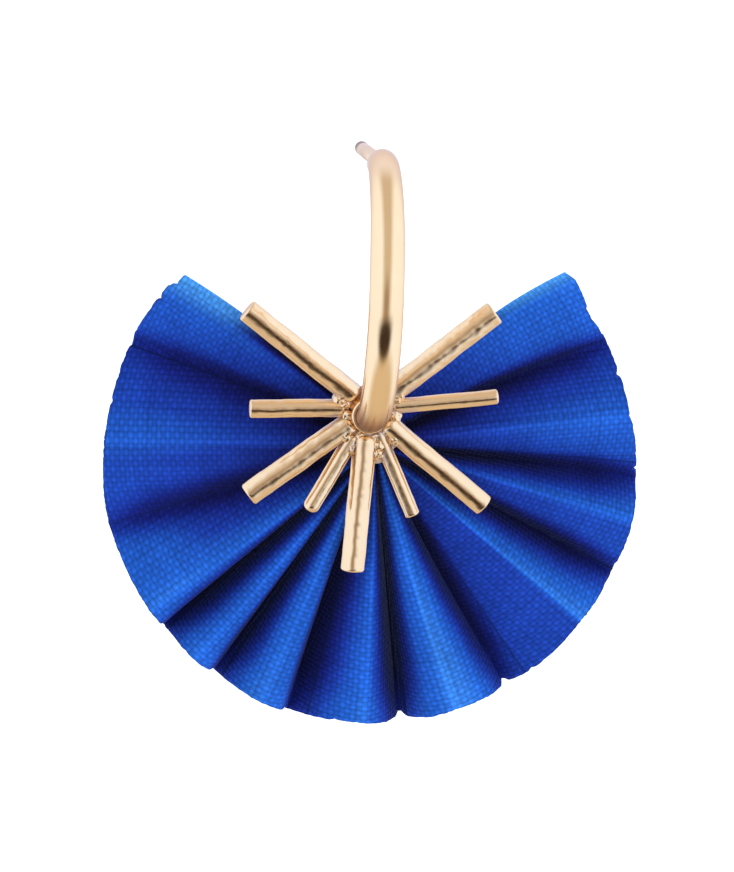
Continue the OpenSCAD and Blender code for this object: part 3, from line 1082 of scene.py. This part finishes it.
def buildFloor(setup):
    half = setup["floorSize"] / 2
    z = cadLow.z - setup["floorDrop"]
    corners = [(-half, -half, z), (half, -half, z), (half, half, z), (-half, half, z)]
    obj = meshFrom("floor", corners, [(0, 1, 2, 3)])
    mat, tree, shader = newMaterial("paleFloor")
    feed(tree, shader, {"Base Color": setup["floorColour"], "Roughness": 0.9,
                        "Emission Color": (1, 1, 1), "Emission Strength": setup["glow"]})
    obj.data.materials.append(mat)
    obj.visible_glossy = False


buildFloor(stageSetup)

# Softboxes aimed at the fan's middle: place, size across and high, and watts
fanMiddle = Vector((0, 0, -0.017))
lights = {
    "above": ((-0.05, -0.55, 0.75), (0.9, 0.6), 1.6),
    "right": ((0.85, -0.45, 0.25), (0.6, 0.9), 1.2),
}


def buildLights(table):
    for name, (place, size, power) in table.items():
        data = bpy.data.lights.new(name, "AREA")
        data.shape = "RECTANGLE"
        data.size, data.size_y = size
        data.energy = power
        lamp = addObject(name, data)
        lamp.location = place
        aimAlong(lamp, fanMiddle - Vector(place))
        lamp.visible_glossy = False


buildLights(lights)

worldSetup = {
    "front": (0.68, 0.63, 0.57),       # tent in front and behind
    "sides": (1.06, 1.20, 1.42),       # its brighter sides
    "sideFrom": 0.22,                  # sine of the angle where the sides begin and are full
    "sideTo": 0.66,
    "back": (0.97, 1.05, 1.32),        # window behind, high up
    "backAt": (173.0, 24.0),
    "backFrom": 0.62,                  # cosine of the angle from it where it begins and is full
    "backTo": 0.94,
    "below": (0.74, 0.65, 0.51),       # warm table under it
    "belowFrom": -0.55,                # sine of the height where the table begins and is full
    "belowTo": -0.85,
    "patch": (0.06, 0.04, 0.03),       # dark things between the camera and the table
    "patchAt": (-28.0, -33.0),         # azimuth and elevation, degrees
    "patchHalf": (60.0, 24.0),         # half width and half height
    "patchCore": 0.45,                 # share of it that is fully dark
    "tail": (0.40, 0.33, 0.27),        # dimmer strip above it
    "tailAt": (-7.0, -4.0),
    "tailHalf": (26.0, 34.0),
    "tailCore": 0.2,
}


def buildWorld(setup):
    world = bpy.data.worlds.new("tent")
    bpy.context.scene.world = world
    world.use_nodes = True
    tree = world.node_tree
    tree.nodes.clear()
    toward = node(tree, "TexCoord", (-1300, 0)).outputs["Generated"]

    def alongAxis(axis, at):
        return node(tree, "VectorMath", at, {0: toward, 1: axis}, operation="DOT_PRODUCT").outputs["Value"]

    def smoothRange(value, low, high, at):
        return node(tree, "MapRange", at, {"Value": value, "From Min": low, "From Max": high},
                    interpolation_type="SMOOTHSTEP").outputs["Result"]

    right = Vector((0, 0, 1)).cross(cameraBack).normalized()
    aside = calc(tree, "ABSOLUTE", alongAxis(right, (-1100, 300)), None, (-900, 300))
    side = smoothRange(aside, setup["sideFrom"], setup["sideTo"], (-700, 300))
    tent = mixColours(tree, side, setup["front"], setup["sides"], (-500, 300))
    height = alongAxis((0, 0, 1), (-1100, 0))
    low = smoothRange(calc(tree, "MULTIPLY", height, -1.0, (-900, 0)),
                      -setup["belowFrom"], -setup["belowTo"], (-700, 0))
    toBack = alongAxis(directionFrom(*setup["backAt"]), (-1100, 150))
    top = smoothRange(toBack, setup["backFrom"], setup["backTo"], (-700, 150))
    lit = mixColours(tree, top, tent, setup["back"], (-400, 300))
    whole = mixColours(tree, low, lit, setup["below"], (-300, 200))

    def outsideOval(at, half, core, y):
        # 0 in the oval's core, 1 outside it
        centre = directionFrom(*at)
        up = centre.cross(right).normalized()
        parts = []
        for axis, size, dy in ((right, half[0], 0), (up, half[1], -150)):
            reach = math.sin(math.radians(size))
            off = calc(tree, "DIVIDE", alongAxis(axis, (-1100, y + dy)), reach, (-900, y + dy))
            parts.append(calc(tree, "MULTIPLY", off, off, (-700, y + dy)))
        away = calc(tree, "SQRT", calc(tree, "ADD", *parts, (-500, y)), None, (-350, y))
        outside = smoothRange(away, core, 1.0, (-200, y))
        behind = calc(tree, "LESS_THAN", alongAxis(centre, (-1100, y - 300)), 0.0, (-900, y - 300))
        return calc(tree, "MAXIMUM", outside, behind, (0, y))

    offTail = outsideOval(setup["tailAt"], setup["tailHalf"], setup["tailCore"], -300)
    tailed = mixColours(tree, offTail, setup["tail"], whole, (150, 0))
    offPatch = outsideOval(setup["patchAt"], setup["patchHalf"], setup["patchCore"], -800)
    colour = mixColours(tree, offPatch, setup["patch"], tailed, (350, 0))
    # The camera sees plain white instead
    mirrored = node(tree, "Background", (550, 0), {"Color": colour})
    seen = node(tree, "Background", (550, -200), {"Color": (1, 1, 1)})
    path = node(tree, "LightPath", (550, 400))
    mix = node(tree, "MixShader", (750, 0), {
        "Fac": path.outputs["Is Camera Ray"], 1: mirrored.outputs[0], 2: seen.outputs[0]})
    node(tree, "OutputWorld", (950, 0), {"Surface": mix.outputs[0]})


buildWorld(worldSetup)
bpy.context.scene.view_settings.view_transform = "Standard"
bpy.context.scene.view_settings.look = "None"
print("stage, lights and world set")
